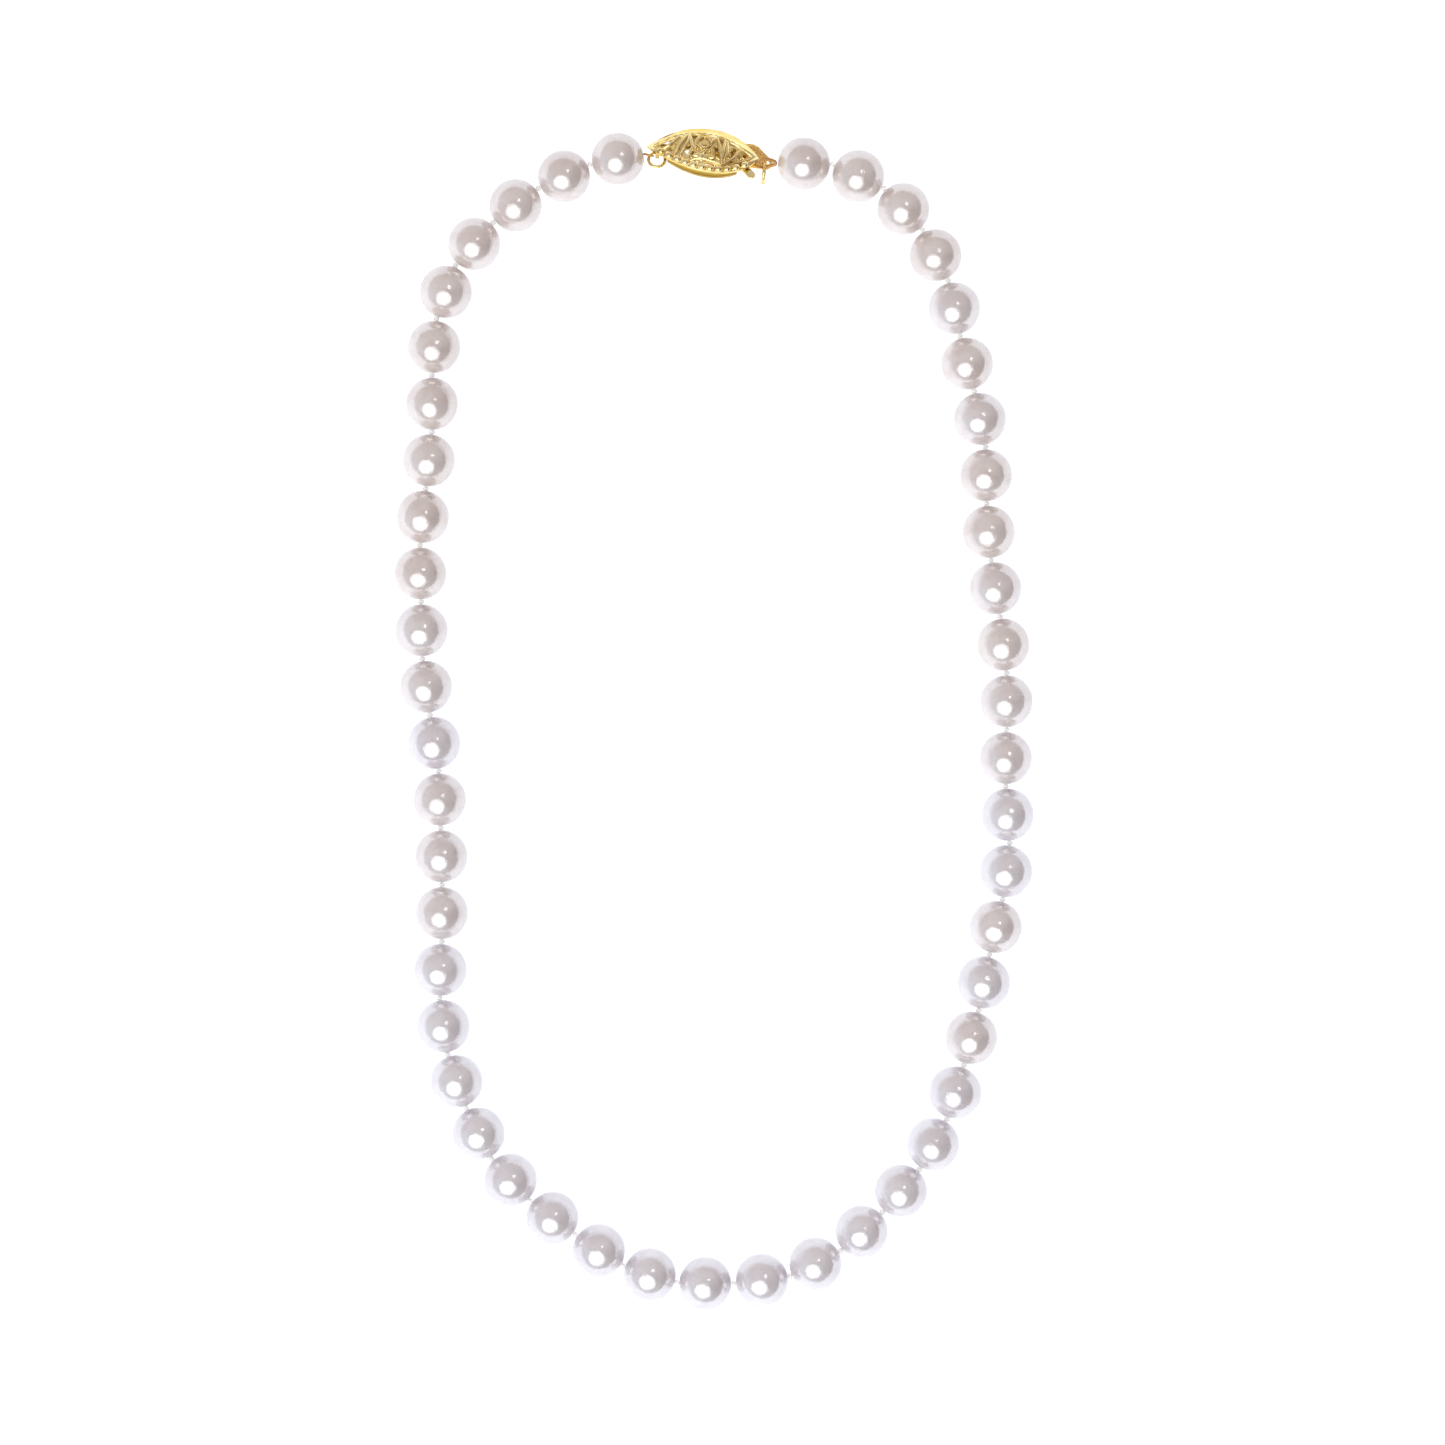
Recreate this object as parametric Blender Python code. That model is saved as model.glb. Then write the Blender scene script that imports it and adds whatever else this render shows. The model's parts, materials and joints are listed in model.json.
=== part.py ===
# Knotted pearl necklace, 18 inch, with a marquise filigree clasp, lying closed on a table.
# Metres, +Z up. The loop lies in XY with the clasp at the +Y end. The table is Z = 0.
import math

import bmesh
import bpy
import numpy as np
from mathutils import Matrix, Vector

MM = 0.001

# strand
PEARL_COUNT = 49
PEARL_DIA = 8.3 * MM
KNOT_GAP = 0.6 * MM  # between the faces of neighbouring pearls, filled by a silk knot
DRILL_DIA = 0.9 * MM
THREAD_DIA = 0.45 * MM
KNOT_DIA = 1.0 * MM
KNOT_CORE = 0.14 * MM  # half length of the knot's full thickness
KNOT_REACH = 0.3 * MM  # half length of the knot with its tapers
THREAD_BACK = 1.6 * MM  # the silk stops this far inside the end pearls, behind the French wire

# clasp body, in its own frame: U along it, V across it, W out of its front
CLASP_LENGTH = 17.7 * MM
CLASP_WIDTH = 8.0 * MM
CLASP_TILT = 24.0  # degrees, front leaning towards +Y
CLASP_YAW = -6.6  # degrees about Z
LEAN = 1.2 * MM  # how far the widest place is moved towards the hook end
FLANGE = 0.45 * MM  # how far the front rim stands out past the wall
TAPER = 0.7 * MM  # how far the wall leans in on each side, from the front to the back
WALL = 0.4 * MM
BACK_THICK = 0.45 * MM
FRONT_THICK = 0.45 * MM
RIM_END = 2.2 * MM  # W of the wall's top edge at the points
RIM_ARCH = 1.4 * MM  # how much higher it is in the middle
DOME = 0.8 * MM
SEAM = 0.05 * MM  # clearance between the soldered pieces
END_INSET = 3.35 * MM  # from the ring end's point back to the wall's closed end
MOUTH_INSET = 3.25 * MM  # from the hook end's point back to the wall's open mouth
BACK_RIM = 0.5 * MM  # the back plate's rim round its windows
BACK_BAR = 0.7 * MM  # the two bars between them
BAR_DIA = 0.6 * MM
BAR_INSET = 0.7 * MM  # from the mouth
BAR_HEIGHT = 2.85 * MM

# rings
END_RING_DIA = 3.1 * MM
END_RING_WIRE = 0.5 * MM
LUG_INSET = 1.75 * MM  # from the ring end's point
LUG_THICK = 0.6 * MM
LUG_HOLE = 0.95 * MM
RING_HEIGHT = 1.5 * MM
HOOK_RING_DIA = 3.9 * MM
HOOK_RING_WIRE = 0.6 * MM
EYE_OUT = 1.0 * MM  # past the hook end's point
EYE_SIDE = 0.3 * MM
EYE_DIA = 1.35 * MM

# tongue
BLADE_THICK = 0.4 * MM
BLADE_LOW = 0.95 * MM
BLADE_WIDTH = 1.4 * MM
BLADE_INNER = 1.4 * MM  # the fold's place, at -U
LEAF_THICK = 0.3 * MM
LEAF_WIDTH = 1.3 * MM
TAB_WIDTH = 1.25 * MM

FRENCH_LEFT_DIA = 0.36 * MM
FRENCH_RIGHT_DIA = 0.6 * MM

# guide points of the loop from the clasp's ring end round to its hook end, in mm
ROUTE = [
    (-23.4, 85.1), (-37.6, 74.6), (-42.3, 67.4), (-44.1, 58.5), (-44.5, 40.3), (-46.1, 31.3),
    (-46.1, 22.4), (-45.5, 4.5), (-43.6, -4.4), (-43.1, -13.2), (-42.7, -30.8), (-42.8, -48.7),
    (-37.2, -65.3), (-32.3, -72.7), (-25.6, -78.3), (-10.3, -87.7), (7.2, -88.3), (15.8, -86.0),
    (23.1, -80.5), (34.4, -67.2), (37.5, -58.4), (40.3, -49.8), (43.8, -32.4), (46.1, -23.7),
    (45.6, -14.8), (45.2, -6.2), (45.8, 2.6), (43.9, 20.2), (42.4, 28.8), (42.5, 37.7),
    (41.7, 46.7), (39.2, 55.0), (34.7, 72.6), (22.4, 85.3),
]
CLASP_CENTRE = (-2.05 * MM, 87.2 * MM)

# the knots at the bottom of the loop that the strand opens about; each moves the pearl after it
OPENING_KNOTS = (20, 21, 22, 23, 24)

PITCH = PEARL_DIA + KNOT_GAP

HALF = CLASP_LENGTH / 2
BULGE = (HALF**2 + (CLASP_WIDTH / 2) ** 2) / CLASP_WIDTH  # radius of each side's arc
LEFT_END = HALF - END_INSET
MOUTH = HALF - MOUTH_INSET
BAR_AT = MOUTH - BAR_INSET
LUG_AT = HALF - LUG_INSET
EYE_AT = (HALF + EYE_OUT, EYE_SIDE)


def clear_scene():
    for ob in list(bpy.data.objects):
        bpy.data.objects.remove(ob, do_unlink=True)


def material(name, colour, metallic, roughness):
    mat = bpy.data.materials.new(name)
    mat.use_nodes = True
    bsdf = mat.node_tree.nodes["Principled BSDF"]
    bsdf.inputs["Base Color"].default_value = (*colour, 1.0)
    bsdf.inputs["Metallic"].default_value = metallic
    bsdf.inputs["Roughness"].default_value = roughness
    return mat


def is_flat(face):
    face.normal_update()
    return all(abs((v.co - face.verts[0].co).dot(face.normal)) < 1e-7 for v in face.verts)


def finish(name, bm, mat, matrix=None):
    bmesh.ops.triangulate(bm, faces=[f for f in bm.faces if len(f.verts) == 4 and not is_flat(f)])
    bmesh.ops.recalc_face_normals(bm, faces=bm.faces)
    if bm.calc_volume(signed=True) < 0:
        bmesh.ops.reverse_faces(bm, faces=bm.faces)
    mesh = bpy.data.meshes.new(name)
    bm.to_mesh(mesh)
    bm.free()
    ob = bpy.data.objects.new(name, mesh)
    bpy.context.collection.objects.link(ob)
    mesh.materials.append(mat)
    if matrix is not None:
        mesh.transform(matrix)
    return ob


def boolean(ob, cutter, operation="DIFFERENCE"):
    cutter.hide_render = True
    cutter.display_type = "WIRE"
    mod = ob.modifiers.new("bool", "BOOLEAN")
    mod.operation = operation
    mod.solver = "EXACT"
    mod.object = cutter
    bpy.context.view_layer.update()
    graph = bpy.context.evaluated_depsgraph_get()
    mesh = bpy.data.meshes.new_from_object(ob.evaluated_get(graph))
    mat = ob.data.materials[0]
    ob.modifiers.clear()
    ob.data = mesh
    ob.data.materials.clear()
    ob.data.materials.append(mat)
    bpy.data.objects.remove(cutter, do_unlink=True)
    bm = bmesh.new()
    bm.from_mesh(ob.data)
    bmesh.ops.remove_doubles(bm, verts=bm.verts, dist=1e-6)
    bmesh.ops.dissolve_degenerate(bm, edges=bm.edges, dist=1e-7)
    bmesh.ops.triangulate(bm, faces=[f for f in bm.faces if len(f.verts) > 4])
    bm.to_mesh(ob.data)
    bm.free()


def lathe_rings(bm, rings, closed=False):
    """Joins rings of points, each a list of the same length, into a skin."""
    loops = [[bm.verts.new(p) for p in ring] for ring in rings]
    pairs = list(zip(loops, loops[1:])) + ([(loops[-1], loops[0])] if closed else [])
    count = len(loops[0])
    for one, two in pairs:
        for k in range(count):
            bm.faces.new((one[k], one[(k + 1) % count], two[(k + 1) % count], two[k]))
    if not closed:
        bm.faces.new(loops[0][::-1])
        bm.faces.new(loops[-1])


def axes_of(direction):
    """Two unit vectors across a direction, the second as near to +Z as it can be."""
    d = direction.normalized()
    up = Vector((0, 0, 1)) if abs(d.z) < 0.95 else Vector((0, 1, 0))
    side = up.cross(d).normalized()
    return side, d.cross(side).normalized()


def circle(centre, direction, radius, count):
    side, up = axes_of(direction)
    turns = [2 * math.pi * k / count for k in range(count)]
    return [centre + radius * (math.sin(t) * side - math.cos(t) * up) for t in turns]


def torus(name, centre, axis, radius, wire, mat, matrix, around=28, section=8):
    bm = bmesh.new()
    side, up = axes_of(axis)
    rings = []
    for k in range(around):
        t = 2 * math.pi * k / around
        out = math.cos(t) * side + math.sin(t) * up
        ring = []
        for n in range(section):
            s = 2 * math.pi * n / section
            ring.append(centre + out * (radius + wire / 2 * math.cos(s)) + axis * wire / 2 * math.sin(s))
        rings.append(ring)
    lathe_rings(bm, rings, closed=True)
    return finish(name, bm, mat, matrix)


def prism(name, outline, low, high, mat):
    """An upright solid from an outline of (u, v), between two W values or two functions of u."""
    at = lambda level, u: level(u) if callable(level) else level
    bm = bmesh.new()
    below = [bm.verts.new((u, v, at(low, u))) for u, v in outline]
    above = [bm.verts.new((u, v, at(high, u))) for u, v in outline]
    bm.faces.new(below[::-1])
    bm.faces.new(above)
    count = len(outline)
    for k in range(count):
        n = (k + 1) % count
        bm.faces.new((below[k], below[n], above[n], above[k]))
    return finish(name, bm, mat)


# ---------------------------------------------------------------- strand


def smooth_route(points, steps=24):
    """A centripetal Catmull-Rom curve through the points."""
    pts = [2 * points[0] - points[1]] + points + [2 * points[-1] - points[-2]]
    curve = []
    for a, b, c, d in zip(pts, pts[1:], pts[2:], pts[3:]):
        t0 = 0.0
        t1 = t0 + np.linalg.norm(b - a) ** 0.5
        t2 = t1 + np.linalg.norm(c - b) ** 0.5
        t3 = t2 + np.linalg.norm(d - c) ** 0.5
        for t in np.linspace(t1, t2, steps, endpoint=False):
            ab = (t1 - t) / (t1 - t0) * a + (t - t0) / (t1 - t0) * b
            bc = (t2 - t) / (t2 - t1) * b + (t - t1) / (t2 - t1) * c
            cd = (t3 - t) / (t3 - t2) * c + (t - t2) / (t3 - t2) * d
            abc = (t2 - t) / (t2 - t0) * ab + (t - t0) / (t2 - t0) * bc
            bcd = (t3 - t) / (t3 - t1) * bc + (t - t1) / (t3 - t1) * cd
            curve.append((t2 - t) / (t2 - t1) * abc + (t - t1) / (t2 - t1) * bcd)
    curve.append(points[-1])
    return np.array(curve)


def march(curve, pitch, count):
    """Points on the curve, each one pitch from the last, and what is left to the curve's end."""
    at, found, k = curve[0], [curve[0]], 0
    while len(found) < count:
        while k + 1 < len(curve) and np.linalg.norm(curve[k + 1] - at) < pitch:
            k += 1
        if k + 1 >= len(curve):
            return found, -pitch * (count - len(found))
        p, q = curve[k], curve[k + 1]
        low, high = 0.0, 1.0
        for _ in range(40):
            mid = (low + high) / 2
            low, high = (mid, high) if np.linalg.norm(p + mid * (q - p) - at) < pitch else (low, mid)
        at = p + low * (q - p)
        found.append(at)
    return found, np.linalg.norm(curve[-1] - at)


def knots_on_route(start, end):
    """The strand's bending points: both ends and the 48 knots, one pitch apart, closing the loop exactly."""
    centre = np.array(CLASP_CENTRE)
    guide = [np.array(p) * MM for p in ROUTE]
    low, high = 0.6, 1.6
    for _ in range(60):
        scale = (low + high) / 2
        points = [np.array(start)] + [centre + scale * (g - centre) for g in guide] + [np.array(end)]
        found, left = march(smooth_route(points), PITCH, PEARL_COUNT)
        if left < PITCH:
            low = scale
        else:
            high = scale
    height = PEARL_DIA / 2
    return [Vector((p[0], p[1], height)) for p in found] + [Vector((end[0], end[1], height))]


def make_pearl(number, one, two, mat):
    """A full drilled pearl, its hole along the line between its two knots."""
    centre, d = (one + two) / 2, (two - one).normalized()
    radius, hole, bands, count = PEARL_DIA / 2, DRILL_DIA / 2, 8, 14
    edge = math.asin(hole / radius)
    rings = []
    for k in range(bands + 1):
        t = edge + (math.pi - 2 * edge) * k / bands
        rings.append(circle(centre - radius * math.cos(t) * d, d, radius * math.sin(t), count))
    bm = bmesh.new()
    lathe_rings(bm, rings, closed=True)
    return finish(f"pearl_{number:02d}", bm, mat)


def make_thread(knots, mat):
    """One length of silk, straight through each pearl, with a knot between each two."""
    def ring(centre, direction, radius):
        return circle(centre, direction, radius, 8)

    first, last = (knots[1] - knots[0]).normalized(), (knots[-1] - knots[-2]).normalized()
    rings = [ring(knots[0] + THREAD_BACK * first, first, THREAD_DIA / 2)]
    for before, at, after in zip(knots, knots[1:], knots[2:]):
        into, away = (at - before).normalized(), (after - at).normalized()
        through = (into + away).normalized()
        rings.append(ring(at - KNOT_REACH * into, into, THREAD_DIA / 2))
        rings.append(ring(at - KNOT_CORE * through, through, KNOT_DIA / 2))
        rings.append(ring(at + KNOT_CORE * through, through, KNOT_DIA / 2))
        rings.append(ring(at + KNOT_REACH * away, away, THREAD_DIA / 2))
    rings.append(ring(knots[-1] - THREAD_BACK * last, last, THREAD_DIA / 2))
    bm = bmesh.new()
    lathe_rings(bm, rings)
    return finish("silk_thread", bm, mat)


def make_french_wire(name, apex, link, tangent, wire, dia, mat):
    """A loop of French wire from a pearl's hole round a ring's wire."""
    d = apex - link
    reach = d.length
    d.normalize()
    n = (tangent - tangent.dot(d) * d).normalized()
    side = n.cross(d)
    turn = wire / 2 + dia / 2 + 0.07 * MM
    far = 0.62 * dia  # the loop's end at the pearl
    tip = max(reach - dia / 2, turn + far)
    path = []
    for k in range(9):  # round the far side of the wire
        t = math.radians(-90 - 180 * k / 8)
        path.append(link + turn * (math.cos(t) * d + math.sin(t) * side))
    for k in range(7):
        t = math.radians(90 - 180 * k / 6)
        path.append(link + (tip - far + far * math.cos(t)) * d + far * math.sin(t) * side)
    middle = sum(path, Vector()) / len(path)
    rings = []
    for before, at, after in zip(path[-1:] + path, path, path[1:] + path[:1]):
        along = (after - before).normalized()
        out = (at - middle) - (at - middle).dot(n) * n
        out = (out - out.dot(along) * along).normalized()
        rings.append([at + dia / 2 * (math.cos(s) * out + math.sin(s) * n)
                      for s in (2 * math.pi * m / 8 for m in range(8))])
    bm = bmesh.new()
    lathe_rings(bm, rings, closed=True)
    return finish(name, bm, mat)


# ---------------------------------------------------------------- clasp


def half_width(u, inset=0.0):
    """Half the marquise's width at u, with its arcs moved in by an inset."""
    u -= LEAN * (1 - (u / HALF) ** 2)
    return math.sqrt(max((BULGE - inset) ** 2 - u * u, 0.0)) - (BULGE - CLASP_WIDTH / 2)


def rim_height(u):
    return RIM_END + RIM_ARCH * (1 - (u / HALF) ** 2)


def wall_half_width(u, w, inset=0.0):
    """Half the case's width at a height, leaning in towards its back."""
    low = BACK_THICK + SEAM
    return half_width(u, FLANGE + inset + TAPER * (rim_height(u) - w) / (rim_height(u) - low))


def clasp_matrix():
    """From the clasp's own frame to the world, with its back plate's low edge on the table."""
    turn = Matrix.Rotation(math.radians(CLASP_YAW), 4, "Z") @ Matrix.Rotation(math.radians(-CLASP_TILT), 4, "X")
    lift = half_width(LEAN, FLANGE + TAPER) * math.sin(math.radians(CLASP_TILT))
    return Matrix.Translation((CLASP_CENTRE[0], CLASP_CENTRE[1], lift)) @ turn


def make_back(mat, matrix):
    steps = np.linspace(-LEFT_END, MOUTH, 15)
    edge = FLANGE + TAPER
    outline = [(u, half_width(u, edge)) for u in steps[::-1]] + [(u, -half_width(u, edge)) for u in steps]
    ob = prism("clasp_back", outline, 0.0, BACK_THICK, mat)
    first, last = -LEFT_END + BACK_RIM + WALL, MOUTH - BACK_RIM
    wide = (last - first - 2 * BACK_BAR) / 3
    for k in range(3):
        start = first + k * (wide + BACK_BAR)
        us = np.linspace(start, start + wide, 6)
        window = [(u, half_width(u, edge + BACK_RIM)) for u in us[::-1]]
        window += [(u, -half_width(u, edge + BACK_RIM)) for u in us]
        boolean(ob, prism("cut", window, -BACK_THICK, 2 * BACK_THICK, mat))
    ob.data.transform(matrix)
    return ob


def make_case(mat, matrix):
    """The side wall: closed at its ring end, open at its mouth, with the lug of the end ring."""
    steps = list(np.linspace(MOUTH, -LEFT_END, 15))
    inner_steps = list(np.linspace(MOUTH, -LEFT_END + WALL, 15))
    low = BACK_THICK + SEAM
    rings = []
    for side in (1, -1):
        pairs = list(zip(steps, inner_steps))[::side]
        for u, p in pairs:
            high_out, high_in = rim_height(u), rim_height(p)
            rings.append([Vector((u, side * wall_half_width(u, low), low)),
                          Vector((p, side * wall_half_width(p, low, WALL), low)),
                          Vector((p, side * wall_half_width(p, high_in, WALL), high_in)),
                          Vector((u, side * wall_half_width(u, high_out), high_out))])
    bm = bmesh.new()
    lathe_rings(bm, rings)
    ob = finish("clasp_case", bm, mat)
    ring_v = END_RING_DIA / 2 - END_RING_WIRE / 2
    hole_v = -0.2 * MM
    high = rim_height(LUG_AT) - 0.15 * MM
    lug = prism("lug", [(-LUG_AT - LUG_THICK / 2, -0.8 * MM), (-LUG_AT + LUG_THICK / 2, -0.8 * MM),
                        (-LUG_AT + LUG_THICK / 2, 0.4 * MM), (-LEFT_END + 0.2 * MM, 0.4 * MM),
                        (-LEFT_END + 0.2 * MM, 0.9 * MM), (-LUG_AT - LUG_THICK / 2, 0.9 * MM)],
                low + 0.1 * MM, high, mat)
    boolean(ob, lug, "UNION")
    bpy.ops.mesh.primitive_cylinder_add(vertices=12, radius=LUG_HOLE / 2, depth=LUG_THICK * 2,
                                        location=(-LUG_AT, hole_v, RING_HEIGHT), rotation=(0, math.pi / 2, 0))
    boolean(ob, bpy.context.object)
    ob.data.transform(matrix)
    return ob, Vector((-LUG_AT, hole_v - ring_v, RING_HEIGHT))


OPENINGS = [  # the filigree's openings in the front, each an outline in mm
    [(-7.0, 0.0), (-5.4, 0.95), (-4.6, 1.25), (-5.0, 0.35), (-5.6, -0.25), (-6.2, -0.45)],
    [(-4.9, -0.55), (-3.6, 1.5), (-3.0, 1.9), (-3.1, 1.0), (-4.1, -0.75)],
    [(-2.5, 2.2), (-1.0, 2.35), (-1.6, 1.1)],
    [(-1.0, 0.6), (0.0, 1.45), (1.0, 0.6), (0.0, -0.1)],
    [(1.1, 2.35), (2.6, 2.1), (1.8, 1.0)],
    [(3.1, 1.9), (3.9, 1.55), (4.0, 0.3), (3.1, -0.5), (2.7, 0.4)],
    [(4.7, 1.1), (5.9, 0.65), (6.7, 0.0), (5.6, -0.3), (4.8, -0.5)],
    [(-2.6, 0.3), (-1.7, 0.0), (-1.9, -1.7), (-3.0, -1.5)],
    [(-1.1, -1.1), (-0.3, -0.75), (-0.2, -2.2), (-1.2, -2.1)],
    [(0.3, -0.75), (1.1, -1.1), (1.2, -2.1), (0.4, -2.2)],
    [(1.7, 0.0), (2.2, -0.3), (2.8, -1.5), (1.8, -1.8)],
    [(3.6, -1.0), (4.4, -1.1), (4.7, -1.6), (3.6, -1.8)],
]


def make_front(mat, matrix):
    """The domed openwork front with its plain rim."""
    columns, rows = 25, 8
    low, high = [], []
    us = [HALF * math.sin(math.pi / 2 * t) * 0.997 for t in np.linspace(-1, 1, columns)]
    for u in us:
        wide = max(half_width(u), 0.0)
        for r in range(rows + 1):
            v = wide * (2 * r / rows - 1)
            across = v / (CLASP_WIDTH / 2)
            share = max(1 - (u / HALF) ** 2, 0.0)
            w = rim_height(u) + SEAM + DOME * max(share - across**2, 0.0)
            low.append(Vector((u, v, w)))
            high.append(Vector((u, v, w + FRONT_THICK)))
    bm = bmesh.new()
    below, above = [bm.verts.new(p) for p in low], [bm.verts.new(p) for p in high]
    span = rows + 1
    for c in range(columns - 1):
        for r in range(rows):
            a, b, e, d = c * span + r, c * span + r + 1, (c + 1) * span + r + 1, (c + 1) * span + r
            bm.faces.new((above[a], above[d], above[e], above[b]))
            bm.faces.new((below[a], below[b], below[e], below[d]))
        for r in (0, rows):
            a, d = c * span + r, (c + 1) * span + r
            bm.faces.new((below[a], below[d], above[d], above[a]))
    for c in (0, columns - 1):
        for r in range(rows):
            a, b = c * span + r, c * span + r + 1
            bm.faces.new((below[a], above[a], above[b], below[b]))
    ob = finish("clasp_front", bm, mat)
    for outline in OPENINGS:
        cutter = prism("cut", [(u * MM * CLASP_LENGTH / (17.7 * MM), v * MM * CLASP_WIDTH / (8.0 * MM))
                               for u, v in outline], 0.0, 9 * MM, mat)
        boolean(ob, cutter)
    ob.data.transform(matrix)
    return ob


def make_bar(mat, matrix):
    """The fixed bar across the case, just inside the mouth, that the tongue snaps behind."""
    length = 2 * (wall_half_width(BAR_AT + BAR_DIA / 2, BAR_HEIGHT - BAR_DIA / 2, WALL) - SEAM)
    bpy.ops.mesh.primitive_cylinder_add(vertices=12, radius=BAR_DIA / 2, depth=length,
                                        location=(BAR_AT, 0, BAR_HEIGHT), rotation=(math.pi / 2, 0, 0))
    ob = bpy.context.object
    ob.name = ob.data.name = "clasp_crossbar"
    ob.data.transform(ob.matrix_world)
    ob.matrix_world = Matrix()
    ob.data.materials.append(mat)
    ob.data.transform(matrix)
    return ob


def make_hook_plate(mat, matrix):
    """The tongue's lower blade, its fold, and the plate outside the mouth with the ring's eye."""
    half = BLADE_WIDTH / 2
    eye_u, eye_v = EYE_AT
    out = MOUTH + 0.25 * MM
    round_eye = [(eye_u + 1.15 * MM * math.cos(math.radians(t)), eye_v + 1.15 * MM * math.sin(math.radians(t)))
                 for t in range(-105, 46, 15)]
    outline = [(-BLADE_INNER, -half + 0.2 * MM), (-BLADE_INNER + 0.8 * MM, -half), (out + 1.2 * MM, -half),
               *round_eye, (9.3 * MM, 2.3 * MM), (8.6 * MM, 3.0 * MM), (7.7 * MM, 3.4 * MM),
               (6.7 * MM, 3.4 * MM), (out, 3.0 * MM), (out, half), (-BLADE_INNER + 0.8 * MM, half),
               (-BLADE_INNER, half - 0.2 * MM)]
    ob = prism("hook_plate", outline, BLADE_LOW, BLADE_LOW + BLADE_THICK, mat)
    fold = prism("fold", [(-BLADE_INNER, -half + 0.2 * MM), (-BLADE_INNER + 0.35 * MM, -half + 0.15 * MM),
                          (-BLADE_INNER + 0.35 * MM, half - 0.15 * MM), (-BLADE_INNER, half - 0.2 * MM)],
                 BLADE_LOW + 0.1 * MM, BLADE_LOW + BLADE_THICK + 0.75 * MM, mat)
    boolean(ob, fold, "UNION")
    bpy.ops.mesh.primitive_cylinder_add(vertices=16, radius=EYE_DIA / 2, depth=4 * MM,
                                        location=(eye_u, eye_v, BLADE_LOW))
    boolean(ob, bpy.context.object)
    ob.data.transform(matrix)
    return ob


def make_hook_spring(mat, matrix):
    """The tongue's sprung leaf: it rises from the fold, catches behind the bar and ends in a thumb tab."""
    top = BLADE_LOW + BLADE_THICK
    start = -BLADE_INNER + 0.45 * MM
    half = LEAF_WIDTH / 2
    under = BAR_HEIGHT - BAR_DIA / 2 - 0.12 * MM  # the leaf's top where it passes the bar
    catch = BAR_AT - BAR_DIA / 2 - SEAM  # its step stands just inside the bar
    line = [(start, top + 0.75 * MM), (start + 1.5 * MM, top + 0.95 * MM), (catch - 1.5 * MM, top + 1.1 * MM),
            (catch - 0.6 * MM, BAR_HEIGHT), (catch - 0.12 * MM, BAR_HEIGHT),
            (catch, under), (MOUTH + 0.3 * MM, under), (MOUTH + 1.1 * MM, under - 0.02 * MM)]
    rings = []
    for u, w in line:
        rings.append([Vector((u, -half, w - LEAF_THICK)), Vector((u, half, w - LEAF_THICK)),
                      Vector((u, half, w)), Vector((u, -half, w))])
    bm = bmesh.new()
    lathe_rings(bm, rings)
    ob = finish("hook_spring", bm, mat)
    # the tab leaves the mouth towards -V at a slant, with a round end
    a, b = Vector((MOUTH + 0.4 * MM, -0.95 * MM)), Vector((MOUTH + 2.3 * MM, -2.75 * MM))
    along = (b - a).normalized()
    across = Vector((-along.y, along.x))
    r = TAB_WIDTH / 2
    outline = [tuple(a + r * across)]
    outline += [tuple(a - r * across)]
    for t in range(-90, 91, 22):
        s = math.radians(t)
        outline.append(tuple(b + r * (math.cos(s) * along + math.sin(s) * across)))
    tab = prism("tab", outline, under - LEAF_THICK - 0.05 * MM, under + 0.05 * MM, mat)
    boolean(ob, tab, "UNION")
    ob.data.transform(matrix)
    return ob, Vector((start, 0, top + 0.6 * MM))


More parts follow.
